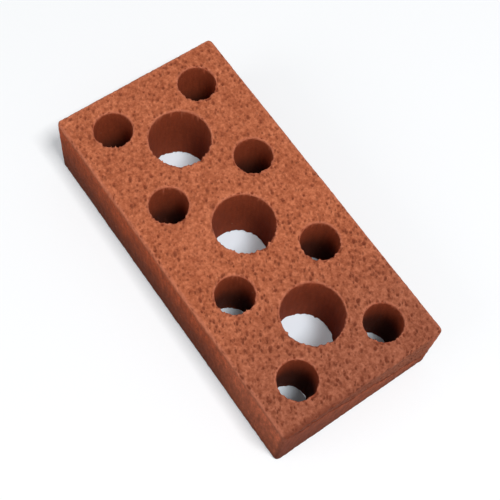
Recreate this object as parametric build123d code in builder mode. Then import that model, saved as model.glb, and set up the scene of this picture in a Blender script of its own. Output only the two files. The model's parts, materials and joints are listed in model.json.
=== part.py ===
"""Facing brick of fired clay, extruded with eleven holes from bed to bed.

Millimetres. The origin is the middle of the lower bed. +X runs along the length,
+Y across the width and +Z up, the way the clay left the die.
"""

import os

from build123d import *

# Outer faces
length = 240.0
width = 115.0
height = 53.0  # between the two wire cuts that make the beds
corner_radius = 3.0  # the four upright corners, formed by the die
arris_radius = 2.0  # the edge round each bed, rubbed soft in the stack and the kiln

# Large holes, one row along the middle of the bed
large_diameter = 38.4
large_count = 3
large_end_web = 31.8  # clay between the last large hole and the end face

# Small holes, one row beside each long face
small_diameter = 24.0
small_side_web = 14.5  # clay between a small hole and the long face
small_end_web = 12.0  # clay between the last small hole and the end face

rim_chamfer = 0.7  # worn mouth of every hole

# The large holes share the middle row evenly between the two outer ones
large_reach = length / 2 - large_end_web - large_diameter / 2
large_pitch = 2 * large_reach / (large_count - 1)

# Small holes stand in the corners and level with each gap of the middle row
row_offset = width / 2 - small_side_web - small_diameter / 2
corner_reach = length / 2 - small_end_web - small_diameter / 2

# The soft edge of a bed stays inside the round of the upright corners
bed_edge_radius = min(arris_radius, 0.9 * corner_radius)

with BuildPart() as brick:
    # The section that the die gives the clay
    with BuildSketch() as section:
        RectangleRounded(length, width, corner_radius)
        with GridLocations(large_pitch, 0, large_count, 1):
            Circle(large_diameter / 2, mode=Mode.SUBTRACT)
        with GridLocations(large_pitch, 2 * row_offset, large_count - 1, 2):
            Circle(small_diameter / 2, mode=Mode.SUBTRACT)
        with GridLocations(2 * corner_reach, 2 * row_offset, 2, 2):
            Circle(small_diameter / 2, mode=Mode.SUBTRACT)
    extrude(amount=height)

    # Soft arrises round both beds
    beds = brick.faces().filter_by(Axis.Z)
    fillet([edge for bed in beds for edge in bed.outer_wire().edges()], bed_edge_radius)

    # Worn mouths of the holes in both beds
    beds = brick.faces().filter_by(Axis.Z)
    chamfer([edge for bed in beds for rim in bed.inner_wires() for edge in rim.edges()], rim_chamfer)

os.makedirs("parts", exist_ok=True)
brick.part.label = "clay_brick"
export_step(brick.part, "parts/clay_brick.step")
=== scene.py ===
"""Dresses the packed clay brick: wire-cut beds, die-smooth faces and torn hole mouths.

Lengths are metres in the brick's own frame: +X along the length, +Y across the width
and +Z up through the holes, with the origin in the middle of the lower bed.
"""

import json
import logging
import math
import random
from collections.abc import Callable, Sequence
from dataclasses import dataclass
from enum import Enum
from itertools import product
from typing import Any

import bmesh
import bpy
import numpy as np
from mathutils import Matrix, Vector


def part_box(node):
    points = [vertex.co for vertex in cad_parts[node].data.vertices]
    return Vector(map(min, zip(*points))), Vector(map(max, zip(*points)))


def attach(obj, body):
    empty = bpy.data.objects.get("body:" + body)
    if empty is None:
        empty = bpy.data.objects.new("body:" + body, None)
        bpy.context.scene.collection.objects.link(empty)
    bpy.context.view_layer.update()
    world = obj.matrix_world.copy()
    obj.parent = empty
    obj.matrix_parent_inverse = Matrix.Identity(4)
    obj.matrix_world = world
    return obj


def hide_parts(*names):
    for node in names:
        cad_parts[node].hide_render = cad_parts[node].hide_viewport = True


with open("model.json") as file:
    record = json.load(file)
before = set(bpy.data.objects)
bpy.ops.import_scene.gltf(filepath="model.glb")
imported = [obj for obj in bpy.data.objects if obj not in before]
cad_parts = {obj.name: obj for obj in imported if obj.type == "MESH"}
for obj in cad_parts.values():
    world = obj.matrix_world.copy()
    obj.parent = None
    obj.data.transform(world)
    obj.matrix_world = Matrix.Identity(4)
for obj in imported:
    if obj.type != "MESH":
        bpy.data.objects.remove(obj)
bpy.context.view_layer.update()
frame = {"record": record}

NODE = "clay_brick"
BODY = "root"
MM = 0.001

# Heights closer together than this are the same.
NEAR = MM / 10

# The wires dragged the clay of the beds this way, an angle from +X.
DRAG_WAY = math.radians(-30)

# The side of each hole on which the wire tore the upper mouth.
TORN_SIDE = (0.93, -0.37)

CHIP_SEED = 11
WEIGHT_STEPS = 40

Span = tuple[float, float]
Triple = tuple[float, float, float]

Piece = bpy.types.Object
Socket = bpy.types.NodeSocket
Tree = bpy.types.NodeTree

# One row of x, y and z for each point, or one number for each.
Array = np.ndarray

# A point on the clay's surface, and the direction out of the clay there.
Spot = tuple[Vector, Vector]

log = logging.getLogger(NODE)


class Mask(Enum):
    """Attributes of the brick's mesh that say how its clay was worked at each point, and where shade and
    highlight are painted on it.
    """

    OPEN = "open_grain"
    SKIN = "die_skin"
    BORE = "bore_wall"
    PIT = "pit_depth"
    RUB_AND_HIGHLIGHT = "edge_rub_and_highlight"
    PAINTED_SHADE = "painted_shade"


def select_only(*pieces: Piece) -> None:
    """Selects some objects and no others.

    Args:
        *pieces: The objects, with the one that becomes active first.
    """
    bpy.ops.object.select_all(action="DESELECT")
    for piece in pieces:
        piece.select_set(True)
    bpy.context.view_layer.objects.active = pieces[0]


def select_parts(obj: Piece, kind: str, wanted: Callable[[Any], bool]) -> None:
    """Selects some edges or faces in edit mode, and nothing else.

    Args:
        obj: The object in edit mode.
        kind: "EDGE" or "FACE".
        wanted: Says whether an edge or a face is to be selected.
    """
    bpy.ops.mesh.select_all(action="DESELECT")
    bpy.ops.mesh.select_mode(type=kind)
    work = bmesh.from_edit_mesh(obj.data)
    for part in work.edges if kind == "EDGE" else work.faces:
        part.select_set(wanted(part))
    bmesh.update_edit_mesh(obj.data)


def heights(edge: bmesh.types.BMEdge) -> list[float]:
    """The heights of an edge's two ends."""
    return [end.co.z for end in edge.verts]


def add_primitive(operator: Callable[..., Any], **settings: Any) -> Piece:
    """Adds a primitive and applies its place, turn and size.

    Args:
        operator: The operator that adds it.
        **settings: The operator's settings.

    Returns:
        The new object.
    """
    bpy.ops.object.select_all(action="DESELECT")
    operator(**settings)
    bpy.ops.object.transform_apply(location=True, rotation=True, scale=True)
    return bpy.context.object


def apply_modifier(obj: Piece, kind: str, name: str, **settings: Any) -> None:
    """Adds a modifier to an object and applies it.

    Args:
        obj: The object to change.
        kind: The modifier's type, such as "BOOLEAN".
        name: What the modifier does here.
        **settings: The modifier's own settings.
    """
    select_only(obj)
    modifier = obj.modifiers.new(name, kind)
    for key, value in settings.items():
        setattr(modifier, key, value)
    bpy.ops.object.modifier_apply(modifier=modifier.name)


def cut_away(obj: Piece, tool: Piece, name: str) -> None:
    """Takes a tool's shape out of an object and removes the tool."""
    apply_modifier(obj, "BOOLEAN", name, operation="DIFFERENCE", solver="EXACT", object=tool)
    bpy.data.objects.remove(tool)


def join_into_first(pieces: Sequence[Piece]) -> None:
    """Joins objects into the first of them."""
    select_only(*pieces)
    bpy.ops.object.join()


def points_of(obj: Piece) -> Array:
    """Reads the places of a mesh's vertices.

    Args:
        obj: The mesh object.

    Returns:
        One row of x, y and z for each vertex.
    """
    places = np.empty(len(obj.data.vertices) * 3, np.float32)
    obj.data.vertices.foreach_get("co", places)
    return places.reshape(-1, 3).astype(float)


def paint_group(obj: Piece, name: str, weights: Array) -> None:
    """Paints a vertex group, in even steps of weight.

    Args:
        obj: The mesh object.
        name: The group's name.
        weights: One weight from 0 to 1 for each vertex.
    """
    group = obj.vertex_groups.new(name=name)
    levels = np.rint(np.clip(weights, 0, 1) * WEIGHT_STEPS).astype(int)
    for level in range(1, WEIGHT_STEPS + 1):
        members = np.flatnonzero(levels == level).tolist()
        if members:
            group.add(members, level / WEIGHT_STEPS, "REPLACE")


def ramp(values: Array, low: float, high: float) -> Array:
    """Rises smoothly from 0 to 1 as values go from low to high."""
    share = np.clip((values - low) / (high - low), 0, 1)
    return share * share * (3 - 2 * share)


@dataclass(frozen=True)
class Relief:
    """One layer of noise pressed into the part of the surface that a vertex group names."""

    name: str
    group: str
    grain: float
    depth: float
    stretch: Triple = (1, 1, 1)
    octaves: int = 2
    level: float = 0.8
    turn: float = 0.0

    def press(self, obj: Piece) -> None:
        """Moves the object's surface by this layer.

        Args:
            obj: The object, with the vertex group painted.
        """
        texture = bpy.data.textures.new(self.name, "CLOUDS")
        texture.noise_scale = self.grain
        texture.noise_depth = self.octaves
        guide = bpy.data.objects.new(f"{self.name}_guide", None)
        guide.scale = self.stretch
        guide.rotation_euler.z = self.turn
        bpy.context.scene.collection.objects.link(guide)
        bpy.context.view_layer.update()
        apply_modifier(
            obj,
            "DISPLACE",
            self.name,
            texture=texture,
            texture_coords="OBJECT",
            texture_coords_object=guide,
            vertex_group=self.group,
            strength=self.depth,
            mid_level=self.level,
        )
        bpy.data.objects.remove(guide)


@dataclass(frozen=True)
class PitField:
    """Pits torn out of a cut bed: at most one in each cell of a jittered grid."""

    pitch: float = 4.1 * MM
    radius: Span = (0.55 * MM, 1.15 * MM)
    stretch: Span = (1.1, 2.4)
    share: float = 0.68
    shallowest: float = 0.5
    turn: float = DRAG_WAY
    seed: int = 5
    table_size: int = 4093
    strides: tuple[int, int, int] = (211, 1237, 547)

    def depth_at(self, points: Array, layer: int) -> Array:
        """Works out how deep in a pit each point of a bed lies.

        Args:
            points: The points to measure.
            layer: A number that gives each bed its own pits.

        Returns:
            Depths from 0, outside a pit, to 1, at the middle of one.
        """
        table = np.random.default_rng(self.seed).random((self.table_size, 5))
        along = np.array((math.cos(self.turn), math.sin(self.turn)))
        across = np.array((-along[1], along[0]))
        places = np.stack((points[:, :2] @ along, points[:, :2] @ across), axis=1)
        home = np.floor(places / self.pitch).astype(int)
        depth = np.zeros(len(points))
        for step in product((-1, 0, 1), repeat=2):
            cell = home + step
            row = table[(cell @ self.strides[:2] + layer * self.strides[2]) % self.table_size]
            apart = places - (cell + row[:, :2]) * self.pitch
            radius = self.radius[0] + (self.radius[1] - self.radius[0]) * row[:, 2] ** 2
            stretch = self.stretch[0] + (self.stretch[1] - self.stretch[0]) * row[:, 3]
            reach = np.hypot(apart[:, 0] / stretch, apart[:, 1]) / radius
            pit = np.clip(1 - reach**2, 0, 1) * (row[:, 4] < self.share)
            depth = np.maximum(depth, pit * (self.shallowest + (1 - self.shallowest) * row[:, 2]))
        return depth


@dataclass(frozen=True)
class Bore:
    """One round hole that runs from bed to bed."""

    x: float
    y: float
    radius: float

    def outward(self, points: Array) -> Array:
        """Distance of each point outside the hole's wall, below 0 inside the hole."""
        return np.hypot(points[:, 0] - self.x, points[:, 1] - self.y) - self.radius


@dataclass(frozen=True)
class Block:
    """The plain form that the die and the wires gave the brick, before any wear."""

    low: Vector
    high: Vector
    bores: Sequence[Bore]
    corner_radius: float = 3.0 * MM
    corner_segments: int = 6
    arris_radius: float = 2.0 * MM
    arris_segments: int = 5
    mouth_flare: float = 0.7 * MM

    @property
    def size(self) -> Vector:
        """Length, width and height."""
        return self.high - self.low

    @property
    def middle(self) -> Vector:
        """The middle of the block's box."""
        return (self.low + self.high) / 2

    def model(self) -> Piece:
        """Starts from a cube and rounds its upright corners and the edges of both beds.

        Returns:
            The block, without its holes.
        """
        block = add_primitive(
            bpy.ops.mesh.primitive_cube_add, size=1.0, location=self.middle, scale=self.size
        )
        block.name = "fired_brick"
        bpy.ops.object.mode_set(mode="EDIT")
        select_parts(block, "EDGE", lambda edge: np.ptp(heights(edge)) > self.size.z / 2)
        bpy.ops.mesh.bevel(offset=self.corner_radius, segments=self.corner_segments, affect="EDGES")
        beds = (self.low.z, self.high.z)
        select_parts(
            block, "EDGE", lambda edge: any(np.ptp([bed, *heights(edge)]) < NEAR for bed in beds)
        )
        bpy.ops.mesh.bevel(offset=self.arris_radius, segments=self.arris_segments, affect="EDGES")
        bpy.ops.object.mode_set(mode="OBJECT")
        return block

    def from_beds(self, points: Array) -> Array:
        """Distance of each point from the nearer bed."""
        return np.minimum(points[:, 2] - self.low.z, self.high.z - points[:, 2])

    def inside_faces(self, points: Array) -> Array:
        """Distances of each point inside the outer faces, one for each axis."""
        return np.array(self.size / 2) - np.abs(points - np.array(self.middle))

    def outside_walls(self, points: Array) -> Array:
        """Distances of the points outside the holes' walls, one row for each hole."""
        return np.array([bore.outward(points) for bore in self.bores])

    def depth_below(self, points: Array) -> Array:
        """Measures how deep points lie under the block's first surface.

        Args:
            points: The points to measure.

        Returns:
            One depth for each point, 0 on the surface.
        """
        over = self.arris_radius - self.inside_faces(points)
        in_corner = np.linalg.norm(np.maximum(over, 0), axis=1)
        in_block = self.arris_radius - in_corner - np.minimum(np.max(over, axis=1), 0)
        from_wall = self.outside_walls(points).min(axis=0)
        from_rim = (from_wall + self.from_beds(points) - self.mouth_flare) / math.sqrt(2)
        return np.min([in_block, from_wall, from_rim], axis=0)


@dataclass(frozen=True)
class HoleCores:
    """What is cut out of the block for its holes: flared cores with torn mouths."""

    block: Block
    overrun: float = 8 * MM
    sides: int = 192
    rings: tuple[float, ...] = (0.0, 0.6 * MM, 1.2 * MM, 2.0 * MM, 3.0 * MM, 4.5 * MM)
    tear_depth: float = 5.6 * MM
    tear_grain: float = 2.1 * MM
    tear_reach: float = 3.0 * MM
    facing: Span = (-0.1, 0.8)
    least_torn: float = 0.15
    lower_torn: float = 0.6

    def model(self) -> Piece:
        """Sets a copy of the right core in each hole and tears their mouths.

        Returns:
            All the cores as one object.
        """
        radii = sorted({bore.radius for bore in self.block.bores})
        models = {radius: self.model_core(radius) for radius in radii}
        copies = []
        for bore in self.block.bores:
            copy = models[bore.radius].copy()
            copy.data = copy.data.copy()
            copy.data.transform(Matrix.Translation((bore.x, bore.y, 0)))
            bpy.context.scene.collection.objects.link(copy)
            copies.append(copy)
        for model in models.values():
            bpy.data.objects.remove(model)
        join_into_first(copies)
        cores = copies[0]
        paint_group(cores, "mouths", self.tearing(points_of(cores)))
        Relief("torn_mouths", "mouths", self.tear_grain, self.tear_depth, level=0.5).press(cores)
        return cores

    def model_core(self, radius: float) -> Piece:
        """Models one core, standing on the origin: flared and ringed at each mouth.

        Args:
            radius: The hole's radius.

        Returns:
            The core, longer than the hole at both ends.
        """
        bottom, top = self.block.low.z, self.block.high.z
        core = add_primitive(
            bpy.ops.mesh.primitive_cylinder_add,
            vertices=self.sides,
            radius=radius,
            depth=top - bottom + 2 * self.overrun,
            location=(0, 0, (top + bottom) / 2),
        )
        bpy.ops.object.mode_set(mode="EDIT")
        for inset in self.rings:
            for level in (bottom + inset, top - inset):
                bpy.ops.mesh.select_all(action="SELECT")
                bpy.ops.mesh.bisect(plane_co=(0, 0, level), plane_no=(0, 0, 1))
        select_parts(
            core, "EDGE", lambda edge: all(z > top - NEAR or z < bottom + NEAR for z in heights(edge))
        )
        flare = (radius + self.block.mouth_flare) / radius
        bpy.ops.transform.resize(value=(flare, flare, 1), center_override=(0, 0, 0))
        bpy.ops.object.mode_set(mode="OBJECT")
        return core

    def tearing(self, points: Array) -> Array:
        """Says how far the wire tore the clay round the hole mouths.

        The wire pulls clay out of one side of each upper mouth and leaves the other clean.
        The lower mouths are torn all round.

        Args:
            points: The cores' vertices.

        Returns:
            One share from 0 to 1 for each vertex.
        """
        nearest = np.abs(self.block.outside_walls(points)).argmin(axis=0)
        middles = np.array([(bore.x, bore.y) for bore in self.block.bores])[nearest]
        ray = points[:, :2] - middles
        ray /= np.maximum(np.hypot(ray[:, 0], ray[:, 1]), MM)[:, None]
        torn = ramp(ray @ np.array(TORN_SIDE), *self.facing)
        upper = 1 - ramp(self.block.high.z - points[:, 2], 0, self.tear_reach)
        lower = 1 - ramp(points[:, 2] - self.block.low.z, 0, self.tear_reach)
        return upper * (self.least_torn + (1 - self.least_torn) * torn) + lower * self.lower_torn


@dataclass(frozen=True)
class DraggedLip:
    """The skirt of open clay that the wire pulled down over the +X end face."""

    block: Block
    start: float = 2 * MM
    drop: float = 36 * MM
    bend: float = 1.2
    wander: float = 1.3 * MM
    waves: tuple[Span, ...] = ((5.3, 0.4), (1.9, 2.1), (0.9, 4.0), (0.5, 1.3))
    blur: float = 0.6 * MM
    reach: Span = (1.0 * MM, 3.0 * MM)
    fade: Span = (44 * MM, 55 * MM)
    least: float = 0.35
    groove: Triple = (0.8 * MM, 2.0 * MM, 4.6 * MM)

    def line(self, across: Array) -> Array:
        """Says how far down the end face the wire dragged the bed's open grain.

        Args:
            across: Places along +Y on the end face.

        Returns:
            The height of the ragged line under the dragged clay at each place.
        """
        share = (across - self.block.low.y) / self.block.size.y
        wander = sum(
            np.sin(across / (length * MM) + phase) / (rank + 1)
            for rank, (length, phase) in enumerate(self.waves)
        )
        drop = self.drop * np.clip(share, 0, 1) ** self.bend
        return self.block.high.z - self.start - drop + wander * self.wander

    def shares(self, points: Array) -> tuple[Array, Array, Array]:
        """Says how far each point belongs to the lip.

        Args:
            points: The points to measure.

        Returns:
            Shares from 0 to 1: being above the line on the end, being in the groove under
            the line, and the lip's strength, which fades towards the upright corners.
        """
        above = points[:, 2] - self.line(points[:, 1])
        at_end = 1 - ramp(self.block.high.x - points[:, 0], *self.reach)
        inland = 1 - ramp(np.abs(points[:, 1]), *self.fade)
        start, full, end = self.groove
        groove = ramp(-above, 0, start) * (1 - ramp(-above, full, end)) * at_end * inland
        dragged = ramp(above, -self.blur, self.blur) * at_end
        return dragged, groove, self.least + (1 - self.least) * inland


@dataclass(frozen=True)
class ChipRun:
    """How many chips one part of the brick has lost, and how big they are."""

    count: int
    radius: Span
    bite: Span
    stretch: float = 1.0


@dataclass(frozen=True)
class ChipStones:
    """Small rough stones along arrises and rims, cut out of the clay as chips."""

    block: Block
    lip: DraggedLip
    draw: random.Random
    arris: ChipRun = ChipRun(60, (0.9 * MM, 2.4 * MM), (0.2, 0.45))
    rim: ChipRun = ChipRun(90, (0.8 * MM, 1.7 * MM), (0.35, 0.7))
    ragged: ChipRun = ChipRun(70, (0.6 * MM, 1.1 * MM), (0.5, 0.9), stretch=1.8)
    roughness: Relief = Relief("rough_stone", "all", 1.2 * MM, 1.6 * MM, level=0.5)
    roundness: int = 3
    voxel: float = 0.45 * MM
    tilt: float = 0.4
    squash: Span = (0.75, 1.25)
    edge_shares: Triple = (0.5, 0.3, 0.2)
    along: float = 0.48
    upper_share: float = 0.5
    rim_spread: float = 0.8
    off_line: float = 0.6

    def model(self) -> Piece:
        """Models every stone in its place.

        Returns:
            All the stones as one object.
        """
        runs = (
            (self.arris, self.spot_on_arris),
            (self.rim, self.spot_on_rim),
            (self.ragged, self.spot_on_line),
        )
        stones = [self.model_stone(run, pick()) for run, pick in runs for _ in range(run.count)]
        join_into_first(stones)
        rough = stones[0]
        paint_group(rough, self.roughness.group, np.ones(len(rough.data.vertices)))
        self.roughness.press(rough)
        apply_modifier(rough, "REMESH", "one_skin", mode="VOXEL", voxel_size=self.voxel)
        return rough

    def model_stone(self, run: ChipRun, spot: Spot) -> Piece:
        """Models one stone where a chip is to be.

        Args:
            run: The sizes of its kind of chip.
            spot: The chip's spot.

        Returns:
            The stone, sunk into the surface by its bite.
        """
        place, outward = spot
        radius = self.draw.uniform(*run.radius)
        bite = self.draw.uniform(*run.bite) * radius
        turn = [self.draw.uniform(-self.tilt, self.tilt) for _ in range(3)]
        scale = Vector([self.draw.uniform(*self.squash) for _ in range(3)])
        scale.y *= run.stretch
        return add_primitive(
            bpy.ops.mesh.primitive_ico_sphere_add,
            subdivisions=self.roundness,
            radius=radius,
            location=place + outward * (radius - bite),
            rotation=turn,
            scale=scale,
        )

    def spot_on_arris(self) -> Spot:
        """Picks a spot on one of the block's twelve edges.

        Returns:
            The spot.
        """
        size = self.block.size
        along = self.draw.choices((0, 1, 2), weights=self.edge_shares)[0]
        sides = [self.draw.choice((-1, 1)) for _ in range(3)]
        sides[along] = 0
        outward = Vector(sides).normalized()
        radius = self.block.corner_radius if along == 2 else self.block.arris_radius
        spot = self.block.middle + Vector([side * length / 2 for side, length in zip(sides, size)])
        spot -= outward * radius * (math.sqrt(2) - 1)
        spot[along] += self.draw.uniform(-self.along, self.along) * size[along]
        return spot, outward

    def spot_on_rim(self) -> Spot:
        """Picks a spot on the rim of a hole: anywhere below, and on the torn side above.

        Returns:
            The spot.
        """
        bores = self.block.bores
        bore = self.draw.choices(bores, weights=[bore.radius for bore in bores])[0]
        above = self.draw.random() < self.upper_share
        if above:
            way = math.atan2(TORN_SIDE[1], TORN_SIDE[0]) + self.draw.gauss(0, self.rim_spread)
        else:
            way = self.draw.uniform(0, math.tau)
        ray = Vector((math.cos(way), math.sin(way), 0))
        level = self.block.high.z if above else self.block.low.z
        outward = (Vector((0, 0, 1 if above else -1)) - ray).normalized()
        return Vector((bore.x, bore.y, level)) + ray * bore.radius, outward

    def spot_on_line(self) -> Spot:
        """Picks a spot on the ragged line under the dragged lip.

        Returns:
            The spot.
        """
        across = self.draw.uniform(-self.along, self.along) * self.block.size.y
        line = float(self.lip.line(np.array([across]))[0])
        level = line + self.draw.uniform(-self.off_line, self.off_line) * MM
        return Vector((self.block.high.x, across, level)), Vector((1, 0, 0))


@dataclass(frozen=True)
class PerforatedBrick:
    """The whole brick: its block with the holes cut, the surface worked and the edges worn."""

    block: Block
    lip: DraggedLip
    cores: HoleCores
    stones: ChipStones
    pits: PitField = PitField()
    pit_depth: float = 0.9 * MM
    layers: tuple[Relief, ...] = (
        Relief("bed_swell", "bed", 22 * MM, 0.4 * MM),
        Relief("bed_drag", "bed", 1.4 * MM, 0.7 * MM, (2, 1, 1), level=0.62, turn=DRAG_WAY),
        Relief("bed_grain", "bed", 1.7 * MM, 0.9 * MM, octaves=3, level=0.62),
        Relief("lip_grain", "lip", 2.4 * MM, 1.6 * MM, (1, 1, 2), octaves=3, level=0.65),
        Relief("lip_tear", "groove", 2.4 * MM, 1.8 * MM, level=1.0),
        Relief("skin_swell", "skin", 30 * MM, 0.5 * MM),
        Relief("skin_grain", "skin", 2.0 * MM, 0.42 * MM, (1, 1, 2)),
        Relief("skin_drag", "skin", 1.6 * MM, 0.24 * MM, (1, 1, 8)),
        Relief("bore_scoring", "bore", 1.6 * MM, 0.3 * MM, (1, 1, 9)),
    )
    voxel: float = 0.55 * MM
    most_triangles: int = 194_000
    bed_edge: Span = (0.3 * MM, 1.3 * MM)
    wall_edge: Span = (1.5 * MM, 2.5 * MM)
    # Depths over which painted shade darkens pits and hollows.
    pit_shade: Span = (0.40 * MM, 0.95 * MM)
    worn_top: Span = (1.5 * MM, 6.0 * MM)
    worn_share: float = 0.85
    # Reaches of the pale arrises and rims: wear, and a painted highlight.
    edge_wear_and_highlight: Span = (1.0 * MM, 2.8 * MM)
    rim_wear_and_highlight: Span = (0.6 * MM, 1.8 * MM)
    narrow_radius: float = 15 * MM
    narrow_reach: float = 3 * MM
    # Painted shade down the narrow holes: its depths below the top, its lean along x and its fade at the
    # foot.
    hole_shade_depth: Span = (13 * MM, 37 * MM)
    hole_shade_slope: float = 0.075
    hole_shade_foot: Span = (0.5 * MM, 4 * MM)

    def model(self) -> Piece:
        """Builds the brick as one closed mesh.

        Returns:
            The finished mesh object, in place.
        """
        brick = self.block.model()
        cut_away(brick, self.stones.model(), "chips")
        cut_away(brick, self.cores.model(), "holes")
        apply_modifier(brick, "REMESH", "even_clay", mode="VOXEL", voxel_size=self.voxel)
        self.press_relief(brick)
        self.thin_out(brick)
        self.keep_masks(brick)
        return brick

    def zones(self, points: Array) -> dict[str, Array]:
        """Says how far each point belongs to each kind of surface.

        Args:
            points: The mesh's vertices.

        Returns:
            Shares from 0 to 1: "bed", "lip" (dragged clay on the end), "bore", "skin",
            "groove" (the line under the lip) and "dragged" (the lip with the edge above it).
        """
        bed = 1 - ramp(self.block.from_beds(points), *self.bed_edge)
        from_wall = np.abs(self.block.outside_walls(points)).min(axis=0)
        bore = (1 - ramp(from_wall, *self.wall_edge)) * (1 - bed)
        dragged, groove, strength = self.lip.shares(points)
        lip = dragged * (1 - bed) * strength
        skin = 1 - bed - bore - lip
        return {"bed": bed, "lip": lip, "bore": bore, "skin": skin, "groove": groove, "dragged": dragged}

    def press_relief(self, brick: Piece) -> None:
        """Works the surface: torn grain and pits on the beds, a smoother skin elsewhere.

        Args:
            brick: The evenly meshed brick.
        """
        points = points_of(brick)
        zones = self.zones(points)
        for name, share in zones.items():
            paint_group(brick, name, share)
        upper = points[:, 2] > self.block.middle.z
        pits = np.where(upper, self.pits.depth_at(points, 0), self.pits.depth_at(points, 1))
        paint_group(brick, "pits", pits * zones["bed"])
        for layer in self.layers:
            layer.press(brick)
        apply_modifier(
            brick, "DISPLACE", "torn_pits", vertex_group="pits", strength=-self.pit_depth, mid_level=0
        )

    def thin_out(self, brick: Piece) -> None:
        """Brings the mesh under its limit of triangles, inside its box, and tidies it.

        Args:
            brick: The fully worked brick.
        """
        brick.vertex_groups.clear()
        triangles = sum(len(face.vertices) - 2 for face in brick.data.polygons)
        apply_modifier(brick, "DECIMATE", "thin_out", ratio=min(1, self.most_triangles / triangles))
        apply_modifier(brick, "TRIANGULATE", "triangles")
        inside = np.clip(points_of(brick), np.array(self.block.low), np.array(self.block.high))
        brick.data.vertices.foreach_set("co", inside.astype(np.float32).ravel())
        bpy.ops.object.mode_set(mode="EDIT")
        bpy.ops.mesh.select_all(action="SELECT")
        bpy.ops.mesh.remove_doubles(threshold=MM / 1000)
        # Thinning out can leave single faces that stand on an edge of the closed mesh.
        select_parts(brick, "FACE", lambda face: any(len(edge.link_faces) == 1 for edge in face.edges))
        bpy.ops.mesh.delete(type="FACE")
        bpy.ops.mesh.select_all(action="SELECT")
        bpy.ops.mesh.delete_loose()
        bpy.ops.mesh.select_all(action="SELECT")
        bpy.ops.mesh.normals_make_consistent(inside=False)
        bpy.ops.object.mode_set(mode="OBJECT")
        bpy.ops.object.shade_smooth()

    def keep_masks(self, brick: Piece) -> None:
        """Stores the masks that the clay's material reads.

        Args:
            brick: The finished mesh.
        """
        points = points_of(brick)
        zones = self.zones(points)
        worn_edge = 1 - ramp(self.block.high.z - points[:, 2], *self.worn_top)
        inward = np.sort(self.block.inside_faces(points), axis=1)
        near_edge = 1 - ramp(np.hypot(inward[:, 0], inward[:, 1]), *self.edge_wear_and_highlight)
        from_wall = np.abs(self.block.outside_walls(points)).min(axis=0)
        near_rim = 1 - ramp(np.hypot(from_wall, inward[:, 0]), *self.rim_wear_and_highlight)
        masks = {
            Mask.OPEN: zones["bed"] + zones["lip"],
            Mask.SKIN: zones["skin"] * (1 - self.worn_share * worn_edge),
            Mask.BORE: zones["bore"],
            # Painted shade: darker the deeper a point lies under the block's first surface, in pits and
            # hollows of the grain.
            Mask.PIT: ramp(self.block.depth_below(points), *self.pit_shade),
            # Pale along arrises and hole rims: wear, and a painted highlight where light catches the
            # rounded edges.
            Mask.RUB_AND_HIGHLIGHT: np.maximum(near_edge * (1 - zones["dragged"]), near_rim),
            # Painted shade: dark down the narrow holes and in the groove under the lip.
            Mask.PAINTED_SHADE: np.maximum(zones["bore"] * self.hole_shading(points), zones["groove"]),
        }
        for mask, values in masks.items():
            attribute = brick.data.attributes.new(mask.value, "FLOAT", "POINT")
            attribute.data.foreach_set("value", values.astype(np.float32))

    def hole_shading(self, points: Array) -> Array:
        """Says how much painted shade darkens each point of a narrow hole, darker from its top down.

        Args:
            points: The mesh's vertices.

        Returns:
            Shares from 0 to 1.
        """
        narrow = [bore for bore in self.block.bores if bore.radius < self.narrow_radius]
        from_narrow = np.min([np.abs(bore.outward(points)) for bore in narrow], axis=0)
        drawn = points[:, 0] * self.hole_shade_slope
        below_top = ramp(self.block.high.z - points[:, 2] + drawn, *self.hole_shade_depth)
        above_foot = ramp(points[:, 2] - self.block.low.z, *self.hole_shade_foot)
        return below_top * above_foot * (from_narrow < self.narrow_reach)

    def place(self, brick: Piece, finish: "FiredClay") -> None:
        """Dresses the brick and puts it in the part in place of its plain solid.

        Args:
            brick: The finished mesh.
            finish: What it is made of.
        """
        brick.data.materials.clear()
        brick.data.materials.append(finish.material())
        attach(brick, BODY)
        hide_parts(NODE)
        log.info("%s: %d triangles", brick.name, len(brick.data.polygons))


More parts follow.
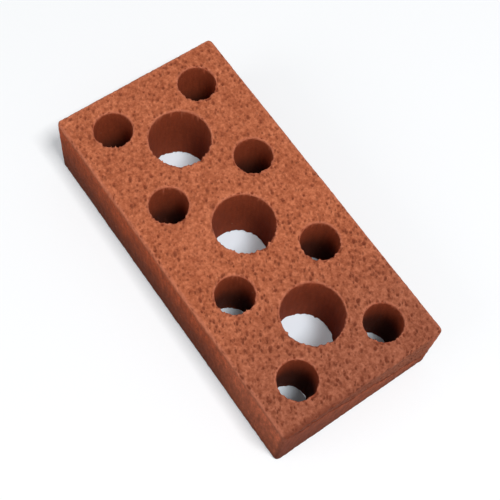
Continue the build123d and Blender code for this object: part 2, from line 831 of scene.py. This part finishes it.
class Graph:
    """Adds nodes to one tree and joins them."""

    def __init__(self, tree: Tree) -> None:
        """Works on the given tree, emptied first."""
        self.tree = tree
        tree.nodes.clear()

    def add(self, kind: str, inputs: dict[str | int, Any] | None = None, **settings: Any) -> bpy.types.Node:
        """Adds one node.

        Args:
            kind: The node's type, without "ShaderNode".
            inputs: What goes in each input: another node's output, a number or a colour.
            **settings: The node's own settings.

        Returns:
            The new node.
        """
        node = self.tree.nodes.new(f"ShaderNode{kind}")
        for key, value in settings.items():
            setattr(node, key, value)
        for key, value in (inputs or {}).items():
            self.feed(node.inputs[key], value)
        return node

    def feed(self, socket: Socket, value: Any) -> None:
        """Joins an output to an input, or sets the input's own value.

        Args:
            socket: The input.
            value: An output, a number, a colour or a vector.
        """
        if isinstance(value, Socket):
            self.tree.links.new(value, socket)
        elif socket.type == "RGBA":
            socket.default_value = (*value, 1.0)
        else:
            socket.default_value = value

    def use(self, effect: Tree, **values: Any) -> bpy.types.bpy_prop_collection:
        """Adds an effect's group, fed by the names of its inputs, and gives its outputs."""
        return self.add("Group", values, node_tree=effect).outputs

    def math(self, operation: str, a: Any, b: Any = 0.0) -> Socket:
        """One step of arithmetic, such as "ADD" or "MAXIMUM"."""
        return self.add("Math", {0: a, 1: b}, operation=operation).outputs[0]

    def times(self, a: Any, b: Any) -> Socket:
        """The product of two numbers."""
        return self.math("MULTIPLY", a, b)

    def vector(self, operation: str, a: Socket, b: Any = (0, 0, 0)) -> Socket:
        """One step of arithmetic on places, such as "MULTIPLY" or "LENGTH"."""
        node = self.add("VectorMath", {0: a, 1: b}, operation=operation)
        return node.outputs["Value" if operation == "LENGTH" else "Vector"]

    def noise(self, place: Socket, scale: Any, detail: float = 2, roughness: float = 0.5) -> Socket:
        """Plain noise from 0 to 1, with scale in waves for each unit of place."""
        inputs = {"Vector": place, "Scale": scale, "Detail": detail, "Roughness": roughness}
        return self.add("TexNoise", inputs).outputs[0]

    def spread(self, value: Socket, low: Any, high: Any, to_low: Any = 0, to_high: Any = 1) -> Socket:
        """Smoothly spreads the values between low and high over a new range."""
        inputs = {"Value": value, "From Min": low, "From Max": high, "To Min": to_low, "To Max": to_high}
        return self.add("MapRange", inputs, interpolation_type="SMOOTHSTEP").outputs[0]

    def sway(self, noise: Socket, to_low: Any, to_high: Any) -> Socket:
        """Spreads plain noise, which seldom leaves 0.3 to 0.7, over a new range."""
        return self.spread(noise, 0.3, 0.7, to_low, to_high)

    def mix(self, share: Any, a: Any, b: Any, blend: str = "MIX") -> Socket:
        """Mixes two colours by a share."""
        node = self.add("Mix", {0: share, 6: a, 7: b}, data_type="RGBA", blend_type=blend)
        return node.outputs[2]

    def seen(self) -> Socket:
        """Tells what the camera sees from what only gives light.

        Returns:
            1 where the camera looks, straight or by way of a gloss or a glass, and else 0.
        """
        path = self.add("LightPath").outputs
        seen = self.math("MAXIMUM", path["Is Camera Ray"], path["Is Glossy Ray"])
        return self.math("MAXIMUM", seen, path["Is Transmission Ray"])


class EffectGroup(Graph):
    """A shader node group with named inputs and outputs, made once and used by its name."""

    KINDS = {float: "NodeSocketFloat", tuple: "NodeSocketColor", Vector: "NodeSocketVector"}

    def __init__(self, name: str, inputs: dict[str, Any], outputs: dict[str, Any]) -> None:
        """Makes the empty group.

        Args:
            name: The effect, in plain words.
            inputs: Each input's name and its usual value.
            outputs: Each output's name and its value when nothing joins it.
        """
        super().__init__(bpy.data.node_groups.new(name, "ShaderNodeTree"))
        for way, values in (("INPUT", inputs), ("OUTPUT", outputs)):
            for label, value in values.items():
                kind = self.KINDS[type(value)]
                socket = self.tree.interface.new_socket(label, in_out=way, socket_type=kind)
                if not isinstance(value, Vector):
                    socket.default_value = (*value, 1.0) if isinstance(value, tuple) else value
        self.given = self.tree.nodes.new("NodeGroupInput").outputs

    def per(self, label: str, waves: float = 1.0) -> Socket:
        """The scale that fits this many waves in the length given as a named input."""
        return self.math("DIVIDE", waves, self.given[label])

    def give(self, **values: Socket) -> Tree:
        """Joins what the group gives to its outputs.

        Args:
            **values: What each named output gives.

        Returns:
            The finished group.
        """
        result = self.tree.nodes.new("NodeGroupOutput")
        for label, value in values.items():
            self.feed(result.inputs[label], value)
        return self.tree


def mottle_effect() -> Tree:
    """Clay of uneven colour: broad warm patches, smaller deep ones, granules and fine grain.

    Returns:
        The effect's group.
    """
    group = EffectGroup(
        "Clay mottle",
        {
            "Place": Vector(),
            "Body": (0.4, 0.13, 0.07),
            "Warm": (0.45, 0.16, 0.08),
            "Deep": (0.25, 0.07, 0.04),
            "Patch": 26.0,
            "Blotch": 5.0,
            "Grain": 1.4,
            "Granule": 2.6,
            "Contrast": 0.22,
            "Coarse": 0.20,
            "Lift": 0.5,
            "Greener": 1.35,
            "Bluer": 1.6,
        },
        {"Color": (0.0, 0.0, 0.0), "Height": 0.0},
    )
    given = group.given
    patch = group.noise(given["Place"], group.per("Patch"), detail=4, roughness=0.55)
    blotch = group.noise(given["Place"], group.per("Blotch"), detail=3, roughness=0.6)
    grain = group.noise(given["Place"], group.per("Grain"), detail=3, roughness=0.65)
    granule = group.noise(given["Place"], group.per("Granule"), detail=1)
    colour = group.mix(group.spread(patch, 0.38, 0.66), given["Body"], given["Warm"])
    colour = group.mix(group.spread(blotch, 0.46, 0.78, 0, 0.5), colour, given["Deep"])
    shades = []
    for wave, contrast in ((grain, given["Contrast"]), (granule, given["Coarse"])):
        brightest = group.math("ADD", 1.0, group.times(contrast, given["Lift"]))
        shades.append(group.sway(wave, group.math("SUBTRACT", 1.0, contrast), brightest))
    red = group.times(*shades)
    green, blue = (group.math("POWER", red, given[label]) for label in ("Greener", "Bluer"))
    shade = group.add("CombineColor", {0: red, 1: green, 2: blue}).outputs[0]
    return group.give(Color=group.mix(1.0, colour, shade, "MULTIPLY"), Height=grain)


def speck_effect() -> Tree:
    """Scattered specks of uneven size and outline, at most one in each cell.

    Returns:
        The effect's group.
    """
    group = EffectGroup(
        "Scattered specks",
        {"Place": Vector(), "Cell": 3.0, "Size": 0.3, "Share": 0.5, "Sway": 0.15},
        {"Mask": 0.0, "Chance": 0.0},
    )
    given = group.given
    ripple = {"Vector": given["Place"], "Scale": group.per("Cell", 3.0), "Detail": 1.0}
    wave = group.add("TexNoise", ripple).outputs[1]
    sway = group.vector("MULTIPLY", wave, group.times(given["Cell"], given["Sway"]))
    moved = group.vector("ADD", given["Place"], sway)
    cells = group.add("TexVoronoi", {"Vector": moved, "Scale": group.per("Cell")}).outputs
    chances = group.add("SeparateColor", {0: cells["Color"]}).outputs
    radius = group.times(given["Size"], group.spread(chances[1], 0, 1, 0.55, 1))
    inside = group.spread(cells["Distance"], group.times(radius, 0.25), radius, 1, 0)
    there = group.math("LESS_THAN", chances[0], given["Share"])
    return group.give(Mask=group.times(inside, there), Chance=chances[2])


class ClayGraph(Graph):
    """The nodes of the clay's material, with the places and masks that its layers read."""

    def __init__(self, tree: Tree) -> None:
        """Reads places, in millimetres, and the masks of the mesh.

        Args:
            tree: The material's tree.
        """
        super().__init__(tree)
        metres = self.add("TexCoord").outputs["Object"]
        self.place = self.vector("MULTIPLY", metres, (1 / MM, 1 / MM, 1 / MM))
        self.x, self.y, self.z = self.add("SeparateXYZ", {0: self.place}).outputs
        self.masks = {
            mask: self.add("Attribute", attribute_name=mask.value).outputs["Fac"]
            for mask in Mask
        }


@dataclass(frozen=True)
class FiredClay:
    """Unglazed red-brown clay, open where the wire cut it and closed where the die pressed it.

    One look passes into another over a span in millimetres: along x (drawn, falloff, x tint
    and end), y (corner) or z (skin shade and foot). The falloff and the skin shade are painted
    shade, and so is the darkening at the foot. A cover is how much a layer hides. Waves are
    counted for each millimetre.
    """

    body: Triple = (0.495, 0.143, 0.0645)
    warm: Triple = (0.54, 0.162, 0.075)
    deep: Triple = (0.34, 0.080, 0.034)
    # Dark marks: torn clay, and painted shade in pits and hollows.
    speck: Triple = (0.15, 0.032, 0.014)
    pale: Triple = (0.62, 0.34, 0.20)
    skin: Triple = (0.52, 0.094, 0.030)
    # Dark skin colour: painted shade low on the skin, and also the smears and the darker corner of the +X
    # end.
    foot: Triple = (0.135, 0.027, 0.0125)
    # Pale edges: wear, and a painted highlight along arrises and rims.
    worn_and_highlight: Triple = (0.62, 0.215, 0.130)
    bore: Triple = (0.31, 0.054, 0.019)
    # Painted shade for the narrow holes and the groove under the lip.
    painted_shade: Triple = (0.060, 0.013, 0.007)
    # Painted shade: the clay darker and bluer towards the +X end.
    dull: Triple = (0.70, 0.75, 0.88)
    # A lighter, redder colour that the skin takes on towards +X.
    x_tint: Triple = (0.63, 0.170, 0.083)
    mark_stretch: Triple = (0.6, 1.0, 1.0)
    drag_stretch: Triple = (0.4, 1.0, 1.0)
    scoring_stretch: Triple = (1.0, 1.0, 0.12)
    smear_stretch: Triple = (1.0, 1.0, 0.45)
    scoring_waves: float = 0.5
    lump_waves: float = 0.3
    smear_waves: float = 0.16
    cloud_waves: float = 0.06
    smear_range: Span = (0.45, 0.7)
    drawn_span: Span = (-60.0, 110.0)
    # Where the painted shade towards +X starts and where it is full.
    falloff_span: Span = (10.0, 118.0)
    x_tint_span: Span = (40.0, 84.0)
    end_span: Span = (116.0, 118.5)
    corner_span: Span = (-56.0, 42.0)
    # Painted shade on the skin, from dark at the foot to lighter above, over a wandering level.
    skin_shade_span: Span = (21.0, 66.0)
    skin_shade_wander: float = 24.0
    # Painted shade: the skin and hole walls darker at the foot, where the brick meets the floor.
    foot_span: Span = (0.5, 11.0)
    x_tint_cover: float = 0.75
    # How dark the +X end grows at its -Y corner.
    corner_dark_cover: float = 0.75
    smear_cover: float = 0.35
    wall_cover: float = 0.35
    skin_cover: float = 0.85
    bore_cover: float = 0.9
    painted_shade_cover: float = 0.9
    rub_and_highlight_cover: float = 0.38
    dark_mark_cover: float = 0.9
    pale_cover: float = 0.7
    dotted_shares: Span = (0.55, 1.0)
    dashed_shares: Span = (0.45, 0.95)
    dark_mark_shares: Span = (0.8, 1.0)
    scored_shades: Span = (0.83, 1.17)
    grain_shades: Span = (0.72, 1.26)
    lump_shades: Span = (0.84, 1.16)
    # How dark the painted shade at the foot gets.
    foot_shades: Span = (0.68, 1.0)
    roughness: Span = (0.8, 0.95)
    spotted_skin: float = 0.65
    fine_share: float = 0.3
    broad_share: float = 0.8
    closed_relief: float = 0.35
    relief: float = 0.45 * MM
    shine: float = 0.15

    def material(self) -> bpy.types.Material:
        """Builds the node material.

        Returns:
            The finished material.
        """
        material = bpy.data.materials.new("fired_clay")
        material.use_nodes = True
        graph = ClayGraph(material.node_tree)
        mottle = graph.use(
            mottle_effect(), Place=graph.place, Body=self.body, Warm=self.warm, Deep=self.deep
        )
        scored_place = graph.vector("MULTIPLY", graph.place, self.scoring_stretch)
        scoring = graph.noise(scored_place, self.scoring_waves, roughness=0.55)
        torn, pale = self.marks(graph)
        shaded_skin, walls = self.closed_clay(graph, mottle["Height"], scoring)
        # Painted shade: the clay grows darker and bluer towards the +X end.
        falloff_shade = graph.spread(graph.x, *self.falloff_span)
        # The +X end grows darker towards its -Y corner.
        corner_dark = graph.spread(graph.y, *self.corner_span, self.corner_dark_cover, 0.0)
        colour = graph.mix(falloff_shade, mottle["Color"], self.dull, "MULTIPLY")
        for mask, cover, paint in (
            # skin with painted shade from its upper part down to the foot
            (graph.masks[Mask.SKIN], self.skin_cover, shaded_skin),
            (graph.spread(graph.x, *self.end_span), corner_dark, self.foot),
            (graph.masks[Mask.BORE], self.bore_cover, walls),
            # painted shade down the narrow holes and in the groove under the lip
            (graph.masks[Mask.PAINTED_SHADE], self.painted_shade_cover, self.painted_shade),
            # pale edges: wear and a painted highlight
            (graph.masks[Mask.RUB_AND_HIGHLIGHT], self.rub_and_highlight_cover, self.worn_and_highlight),
            # dark marks: torn clay and painted shade in pits and hollows
            (torn, self.dark_mark_cover, self.speck),
            (pale, self.pale_cover, self.pale),
        ):
            colour = graph.mix(graph.times(mask, cover), colour, paint)

        closed_height = graph.times(graph.math("ADD", scoring, mottle["Height"]), self.closed_relief)
        open_height = graph.math("SUBTRACT", mottle["Height"], torn)
        height = graph.mix(graph.masks[Mask.OPEN], closed_height, open_height)
        bump = graph.add("Bump", {"Height": height, "Strength": 1.0, "Distance": self.relief})
        surface = {
            "Base Color": colour,
            "Roughness": graph.sway(mottle["Height"], *self.roughness),
            "Normal": bump.outputs[0],
            "Specular IOR Level": self.shine,
        }
        shader = graph.add("BsdfPrincipled", surface)
        graph.add("OutputMaterial", {"Surface": shader.outputs[0]})
        return material

    def marks(self, graph: ClayGraph) -> tuple[Socket, Socket]:
        """Scatters dark dots and dashes in the open clay, partly torn clay and partly painted shade
        of small pits, and adds painted shade in pits and hollows, spots on the skin and pale grog.

        Args:
            graph: The material's graph.

        Returns:
            The masks of the dark marks and of the pale ones.
        """
        specks = speck_effect()
        turned = graph.add(
            "VectorRotate", {"Vector": graph.place, "Angle": -DRAG_WAY}, rotation_type="Z_AXIS"
        ).outputs[0]
        marked_place = graph.vector("MULTIPLY", turned, self.mark_stretch)
        drawn_place = graph.vector("MULTIPLY", turned, self.drag_stretch)
        broad = graph.use(specks, Place=marked_place, Cell=3.1, Size=0.41, Share=0.8)
        fine = graph.use(specks, Place=graph.place, Cell=1.9, Size=0.40, Share=0.6)["Mask"]
        dashes = graph.use(specks, Place=drawn_place, Cell=2.4, Size=0.42, Share=0.55)["Mask"]
        grog = graph.use(specks, Place=graph.place, Cell=9.0, Size=0.08, Share=0.3)["Mask"]

        drawn = graph.spread(graph.x, *self.drawn_span)
        dotted = graph.times(broad["Mask"], graph.spread(broad["Chance"], 0, 1, *self.dotted_shares))
        dotted = graph.math("MAXIMUM", dotted, graph.times(fine, self.fine_share))
        dashed = graph.times(dashes, graph.spread(drawn, 0, 1, *self.dashed_shares))
        torn = graph.times(graph.math("MAXIMUM", dotted, dashed), graph.masks[Mask.OPEN])
        # The pit mask adds painted shade in pits and hollows.
        torn = graph.math("MAXIMUM", torn, graph.masks[Mask.PIT])
        torn = graph.times(torn, graph.spread(drawn, 0, 1, *self.dark_mark_shares))
        spotted = graph.math("MAXIMUM", fine, graph.times(broad["Mask"], self.broad_share))
        spotted = graph.times(spotted, graph.times(graph.masks[Mask.SKIN], self.spotted_skin))
        return graph.math("MAXIMUM", torn, spotted), grog

    def closed_clay(self, graph: ClayGraph, grain: Socket, scoring: Socket) -> tuple[Socket, Socket]:
        """Colours the clay that the die closed: the outer skin and the walls of the holes.

        Painted shade makes the skin dark at the foot and lighter and redder above, and the
        skin also grows lighter and redder towards +X.

        Args:
            graph: The material's graph.
            grain: The clay's fine grain.
            scoring: The lines that the die drew.

        Returns:
            The colours of the skin and of the walls.
        """
        smeared_place = graph.vector("MULTIPLY", graph.place, self.smear_stretch)
        lumps = graph.noise(smeared_place, self.lump_waves)
        worked = graph.sway(scoring, *self.scored_shades)
        for shade in (
            graph.sway(grain, *self.grain_shades),
            graph.sway(lumps, *self.lump_shades),
            # painted shade: skin and hole walls darker at the foot, where the brick meets the floor
            graph.spread(graph.z, *self.foot_span, *self.foot_shades),
        ):
            worked = graph.times(worked, shade)

        # Painted shade: the skin darkens from its upper part down to the foot, along a wandering level.
        cloud = graph.noise(graph.place, self.cloud_waves, detail=3, roughness=0.6)
        level = graph.math("ADD", graph.z, graph.times(cloud, self.skin_shade_wander))
        # The skin grows lighter and redder towards +X.
        x_tinted = graph.spread(graph.x, *self.x_tint_span, 0, self.x_tint_cover)
        upper = graph.mix(x_tinted, self.skin, self.x_tint)
        lower = graph.mix(graph.times(x_tinted, self.x_tint_cover), self.foot, self.x_tint)
        shaded_skin = graph.mix(graph.spread(level, *self.skin_shade_span), lower, upper)
        shaded_skin = graph.mix(1.0, shaded_skin, worked, "MULTIPLY")
        smear = graph.noise(smeared_place, self.smear_waves)
        smear = graph.spread(smear, *self.smear_range, 0, self.smear_cover)
        shaded_skin = graph.mix(smear, shaded_skin, self.foot)
        return shaded_skin, graph.mix(self.wall_cover, self.bore, worked, "MULTIPLY")


@dataclass(frozen=True)
class StudioFloor:
    """A plain white floor that keeps the object's shadow."""

    reach: float = 8.0
    white: Triple = (1.0, 1.0, 1.0)
    glow: Triple = (0.90, 0.95, 1.0)
    # Painted shade: the floor is bluer under the brick, where it shows through the holes.
    cool: Triple = (0.84, 0.92, 1.0)
    under_bounce: Triple = (0.40, 0.42, 0.44)
    narrow_bounce: Triple = (0.07, 0.07, 0.08)
    near_bounce: Triple = (0.05, 0.05, 0.05)
    far_bounce: Triple = (0.80, 0.80, 0.80)
    footprint: Triple = (0.120, 0.0575, 0.0)
    bounce_reach: Span = (0.01, 0.12)
    lift: float = 0.30
    lift_under: float = 0.20
    lift_narrow: float = 0.04
    inset: float = 0.006
    row_split: float = 0.0191
    fade: Span = (0.5, 1.6)

    def build(self) -> None:
        """Lays the floor, which isn't part of the object."""
        floor = add_primitive(bpy.ops.mesh.primitive_plane_add, size=self.reach, location=(0, 0, 0))
        floor.name = "studio_floor"
        floor.data.materials.append(self.material())

    def material(self) -> bpy.types.Material:
        """White where the camera looks, and duller in the light that it throws back.

        Returns:
            The finished material.
        """
        material = bpy.data.materials.new("studio_floor")
        material.use_nodes = True
        graph = Graph(material.node_tree)
        place = graph.add("TexCoord").outputs["Object"]
        far = graph.spread(graph.vector("LENGTH", place), *self.fade)
        beside = graph.vector("SUBTRACT", graph.vector("ABSOLUTE", place), self.footprint)
        past_x, past_y, _ = graph.add("SeparateXYZ", {0: beside}).outputs
        under = graph.math("LESS_THAN", graph.math("MAXIMUM", past_x, past_y), -self.inset)
        in_row = graph.math("GREATER_THAN", past_y, self.row_split - self.footprint[1])
        narrow = graph.times(under, in_row)

        gap = graph.vector("LENGTH", graph.vector("MAXIMUM", beside))
        bounce = graph.mix(graph.spread(gap, *self.bounce_reach), self.near_bounce, self.far_bounce)
        bounce = graph.mix(under, bounce, self.under_bounce)
        bounce = graph.mix(narrow, bounce, self.narrow_bounce)
        dull = graph.add("BsdfDiffuse", {"Color": bounce}).outputs[0]
        # Painted shade: bluer under the brick.
        lit = graph.add("BsdfDiffuse", {"Color": graph.mix(under, self.white, self.cool)}).outputs[0]
        glow = graph.add("Emission", {"Color": graph.mix(far, self.glow, self.white)}).outputs[0]
        lift = graph.spread(under, 0, 1, graph.spread(far, 0, 1, self.lift, 1), self.lift_under)
        lift = graph.spread(narrow, 0, 1, lift, self.lift_narrow)
        shown = graph.add("MixShader", {0: lift, 1: lit, 2: glow}).outputs[0]
        floor = graph.add("MixShader", {0: graph.seen(), 1: dull, 2: shown}).outputs[0]
        graph.add("OutputMaterial", {"Surface": floor})
        return material


@dataclass(frozen=True)
class SoftBox:
    """A square soft light."""

    name: str
    place: Triple
    aim: Triple
    size: float
    power: float

    def build(self) -> None:
        """Hangs the light and turns it to its aim."""
        light = bpy.data.lights.new(self.name, "AREA")
        light.shape = "SQUARE"
        light.size = self.size
        light.energy = self.power
        lamp = bpy.data.objects.new(self.name, light)
        bpy.context.scene.collection.objects.link(lamp)
        lamp.location = self.place
        lamp.rotation_euler = (Vector(self.aim) - Vector(self.place)).to_track_quat("-Z", "Y").to_euler()


@dataclass(frozen=True)
class PhotoCamera:
    """The photograph's camera, turned to the brick and with a longer lens."""

    place: Triple = (0.2044, -0.1946, 0.6403)
    right: Triple = (0.5454, 0.8381, -0.0050)
    forward: Triple = (-0.4015, 0.2561, -0.8793)
    aim: Triple = (0.0077, 0.0010, 0.0265)
    lens: float = 78.8
    sensor: float = 36.0
    clip: Span = (0.01, 50.0)

    def build(self) -> None:
        """Sets up the camera and makes it the scene's."""
        forward = Vector(self.forward).normalized()
        right = Vector(self.right)
        right = (right - forward * right.dot(forward)).normalized()
        sight = (Vector(self.aim) - Vector(self.place)).normalized()
        right = forward.rotation_difference(sight) @ right
        data = bpy.data.cameras.new("photo_camera")
        data.lens = self.lens
        data.sensor_width = self.sensor
        data.clip_start, data.clip_end = self.clip
        camera = bpy.data.objects.new("photo_camera", data)
        bpy.context.scene.collection.objects.link(camera)
        turned = Matrix((right, right.cross(sight), -sight)).transposed().to_4x4()
        camera.matrix_world = Matrix.Translation(self.place) @ turned
        bpy.context.scene.camera = camera


@dataclass(frozen=True)
class Studio:
    """Plain soft light over a white floor."""

    floor: StudioFloor = StudioFloor()
    camera: PhotoCamera = PhotoCamera()
    ambient: float = 0.24
    lights: tuple[SoftBox, ...] = (
        SoftBox("key", (0.93, 0.055, 2.38), (0.0, 0.0, 0.03), 0.6, 51.0),
        SoftBox("fill", (-0.3, -1.8, 1.2), (0.0, 0.0, 0.03), 1.2, 7.0),
    )

    def build(self) -> None:
        """Sets the floor, the lights, the camera and the world."""
        for piece in (self.floor, *self.lights, self.camera):
            piece.build()
        scene = bpy.context.scene
        scene.view_settings.view_transform = "Standard"
        scene.world = bpy.data.worlds.new("studio")
        scene.world.use_nodes = True
        graph = Graph(scene.world.node_tree)
        strength = graph.spread(graph.seen(), 0, 1, self.ambient, 1.0)
        sky = graph.add("Background", {"Color": (1, 1, 1), "Strength": strength})
        graph.add("OutputWorld", {"Surface": sky.outputs[0]})
        log.info("studio: %d lights", len(self.lights))


def holes_in_record(record: dict[str, Any]) -> list[Bore]:
    """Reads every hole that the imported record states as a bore."""
    bores = [mount for mount in record["mounts"] if mount["kind"] == "bore"]
    return [Bore(*bore["pos_m"][:2], bore["dims"]["r_mm"] * MM) for bore in bores]


def main() -> None:
    """Builds the brick and its studio."""
    logging.basicConfig(level=logging.INFO, format="%(name)s: %(message)s")
    low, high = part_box(NODE)
    block = Block(low, high, holes_in_record(frame["record"]))
    lip = DraggedLip(block)
    stones = ChipStones(block, lip, random.Random(CHIP_SEED))
    brick = PerforatedBrick(block, lip, HoleCores(block), stones)
    mesh = brick.model()
    brick.place(mesh, FiredClay())
    Studio().build()


if __name__ == "__main__":
    main()
